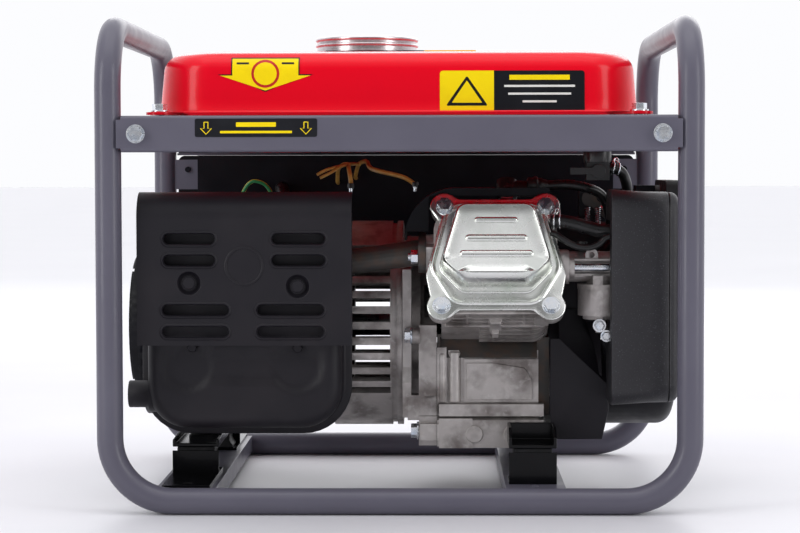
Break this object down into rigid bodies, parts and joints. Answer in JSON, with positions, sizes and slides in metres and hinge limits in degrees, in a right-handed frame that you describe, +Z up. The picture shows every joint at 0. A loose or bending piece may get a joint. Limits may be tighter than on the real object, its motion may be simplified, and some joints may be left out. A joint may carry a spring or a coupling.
{
  "type": "portable generator",
  "caption": "Open-frame portable petrol generator: tilted single-cylinder engine and alternator on rubber mounts in a bent tube frame, with a flat fuel tank on top.",
  "frame": {"origin": "on the floor, under the centre of the tube frame", "axes": "+X along the crankshaft towards the air cleaner and starter, +Y towards the control panel side, -Y towards the muffler side, +Z up"},
  "size_m": [0.46, 0.3774, 0.38],
  "materials": {
    "frame_grey": "semi-gloss grey paint",
    "black_paint": "satin black paint",
    "gloss_black": "gloss black paint",
    "tank_red": "gloss red paint",
    "muffler_black": "matt heat-resistant black",
    "cast_aluminium": "as cast",
    "zinc": "zinc plated",
    "cap_metal": "satin nickel",
    "steel": "machined",
    "iron": "laminated and wound",
    "rubber": "matt rubber",
    "black_plastic": "grained plastic",
    "red_plastic": "moulded",
    "white_plastic": "moulded",
    "foam": "open foam",
    "insulated_wire": "cable insulation"
  },
  "bodies": {
    "frame": {"frame_near_half": "frame_grey", "frame_far_half": "frame_grey", "cross_member_left": "frame_grey", "cross_member_right": "frame_grey", "tank_rail_near": "frame_grey", "tank_rail_far": "frame_grey", "rail_and_tank_bolts": "zinc", "rubber_mounts": "rubber", "mount_lower_brackets": "gloss_black", "engine_mount_brackets": "gloss_black", "alternator_mount_bracket": "gloss_black", "tank_upper_shell": "tank_red", "tank_lower_shell": "tank_red", "filler_neck": "tank_red", "filler_strainer": "white_plastic", "fuel_tap": "black_plastic", "fuel_hose": "rubber", "crankcase": "cast_aluminium", "crankcase_side_cover": "cast_aluminium", "cylinder_head": "cast_aluminium", "valve_cover": "zinc", "engine_bolts": "zinc", "spark_plug": "zinc", "spark_plug_cap": "rubber", "ignition_lead": "rubber", "main_bearings": "steel", "fan_shroud": "black_paint", "cylinder_cowl": "black_paint", "recoil_housing": "black_paint", "carburetor": "cast_aluminium", "air_cleaner_base": "black_plastic", "air_filter_element": "foam", "breather_hose": "rubber", "exhaust_pipe": "muffler_black", "muffler": "muffler_black", "heat_shield": "muffler_black", "heat_shield_screws": "steel", "alternator_housing": "cast_aluminium", "alternator_stator": "iron", "alternator_end_cover": "black_paint", "control_panel": "black_paint", "panel_sockets": "black_plastic", "wiring": "insulated_wire"},
    "fuel_cap": {"fuel_cap_core": "rubber"},
    "fuel_cap_shell": {"fuel_cap_shell": "cap_metal"},
    "fuel_tap_lever": {"fuel_tap_lever": "black_plastic"},
    "crank": {"crankshaft": "steel", "flywheel_fan": "cast_aluminium", "alternator_rotor": "iron"},
    "piston": {"piston": "cast_aluminium", "connecting_rod": "cast_aluminium"},
    "recoil_pulley": {"recoil_pulley": "black_plastic"},
    "recoil_handle": {"recoil_handle": "black_plastic"},
    "choke_lever": {"choke_lever": "black_plastic"},
    "governor_lever": {"governor_lever": "zinc"},
    "air_cleaner_cover": {"air_cleaner_cover": "black_plastic"},
    "air_cleaner_knob": {"air_cleaner_knob": "black_plastic"},
    "oil_dipstick": {"oil_dipstick": "black_plastic"},
    "breaker_button": {"breaker_button": "red_plastic"},
    "engine_switch": {"engine_switch": "red_plastic"}
  },
  "joints": [
    {"name": "fuel_cap_lift", "type": "slide", "parent": "frame", "child": "fuel_cap", "axis": [0, 0, 1], "range_m": [0, 0.05]},
    {"name": "fuel_cap_twist", "type": "hinge", "parent": "fuel_cap", "child": "fuel_cap_shell", "pos_m": [-0.0294, 0, 0.365], "axis": [0, 0, 1], "range_deg": [0, 90]},
    {"name": "fuel_tap_turn", "type": "hinge", "parent": "frame", "child": "fuel_tap_lever", "pos_m": [0.155, -0.104, 0.26], "axis": [0, 1, 0], "range_deg": [-90, 0]},
    {"name": "crank_spin", "type": "hinge", "parent": "frame", "child": "crank", "pos_m": [0.074, 0, 0.134], "axis": [1, 0, 0], "continuous": true},
    {"name": "piston_stroke", "type": "slide", "parent": "frame", "child": "piston", "axis": [0, -0.9063, 0.4226], "range_m": [-0.04, 0]},
    {"name": "starter_pull", "type": "slide", "parent": "frame", "child": "recoil_handle", "axis": [1, 0, 0], "range_m": [0, 0.55], "stiffness_N_per_m": 15, "springref_m": -0.25},
    {"name": "starter_pulley_turn", "type": "hinge", "parent": "frame", "child": "recoil_pulley", "pos_m": [0.2, 0, 0.134], "axis": [-1, 0, 0], "range_deg": [0, 655]},
    {"name": "choke_turn", "type": "hinge", "parent": "frame", "child": "choke_lever", "pos_m": [0.141, -0.109, 0.2], "axis": [0, 0, 1], "range_deg": [0, 75]},
    {"name": "governor_swing", "type": "hinge", "parent": "frame", "child": "governor_lever", "pos_m": [0.151, -0.055, 0.238], "axis": [0, 1, 0], "range_deg": [-10, 4], "stiffness_Nm_per_rad": 0.05},
    {"name": "air_cleaner_cover_off", "type": "slide", "parent": "frame", "child": "air_cleaner_cover", "axis": [1, 0, 0], "range_m": [0, 0.06]},
    {"name": "air_cleaner_knob_turn", "type": "hinge", "parent": "air_cleaner_cover", "child": "air_cleaner_knob", "pos_m": [0.218, -0.116, 0.128], "axis": [1, 0, 0], "continuous": true},
    {"name": "dipstick_pull", "type": "slide", "parent": "frame", "child": "oil_dipstick", "axis": [0, 1, 0], "range_m": [0, 0.07]},
    {"name": "breaker_press", "type": "slide", "parent": "frame", "child": "breaker_button", "axis": [0, -1, 0], "range_m": [0, 0.003], "stiffness_N_per_m": 400, "springref_m": -0.002},
    {"name": "engine_switch_rock", "type": "hinge", "parent": "frame", "child": "engine_switch", "pos_m": [0.115, 0.1682, 0.223], "axis": [1, 0, 0], "range_deg": [0, 14]}
  ],
  "couplings": [
    {"joint": "starter_pulley_turn", "follows": "starter_pull", "rad_per_m": 20.704}
  ]
}
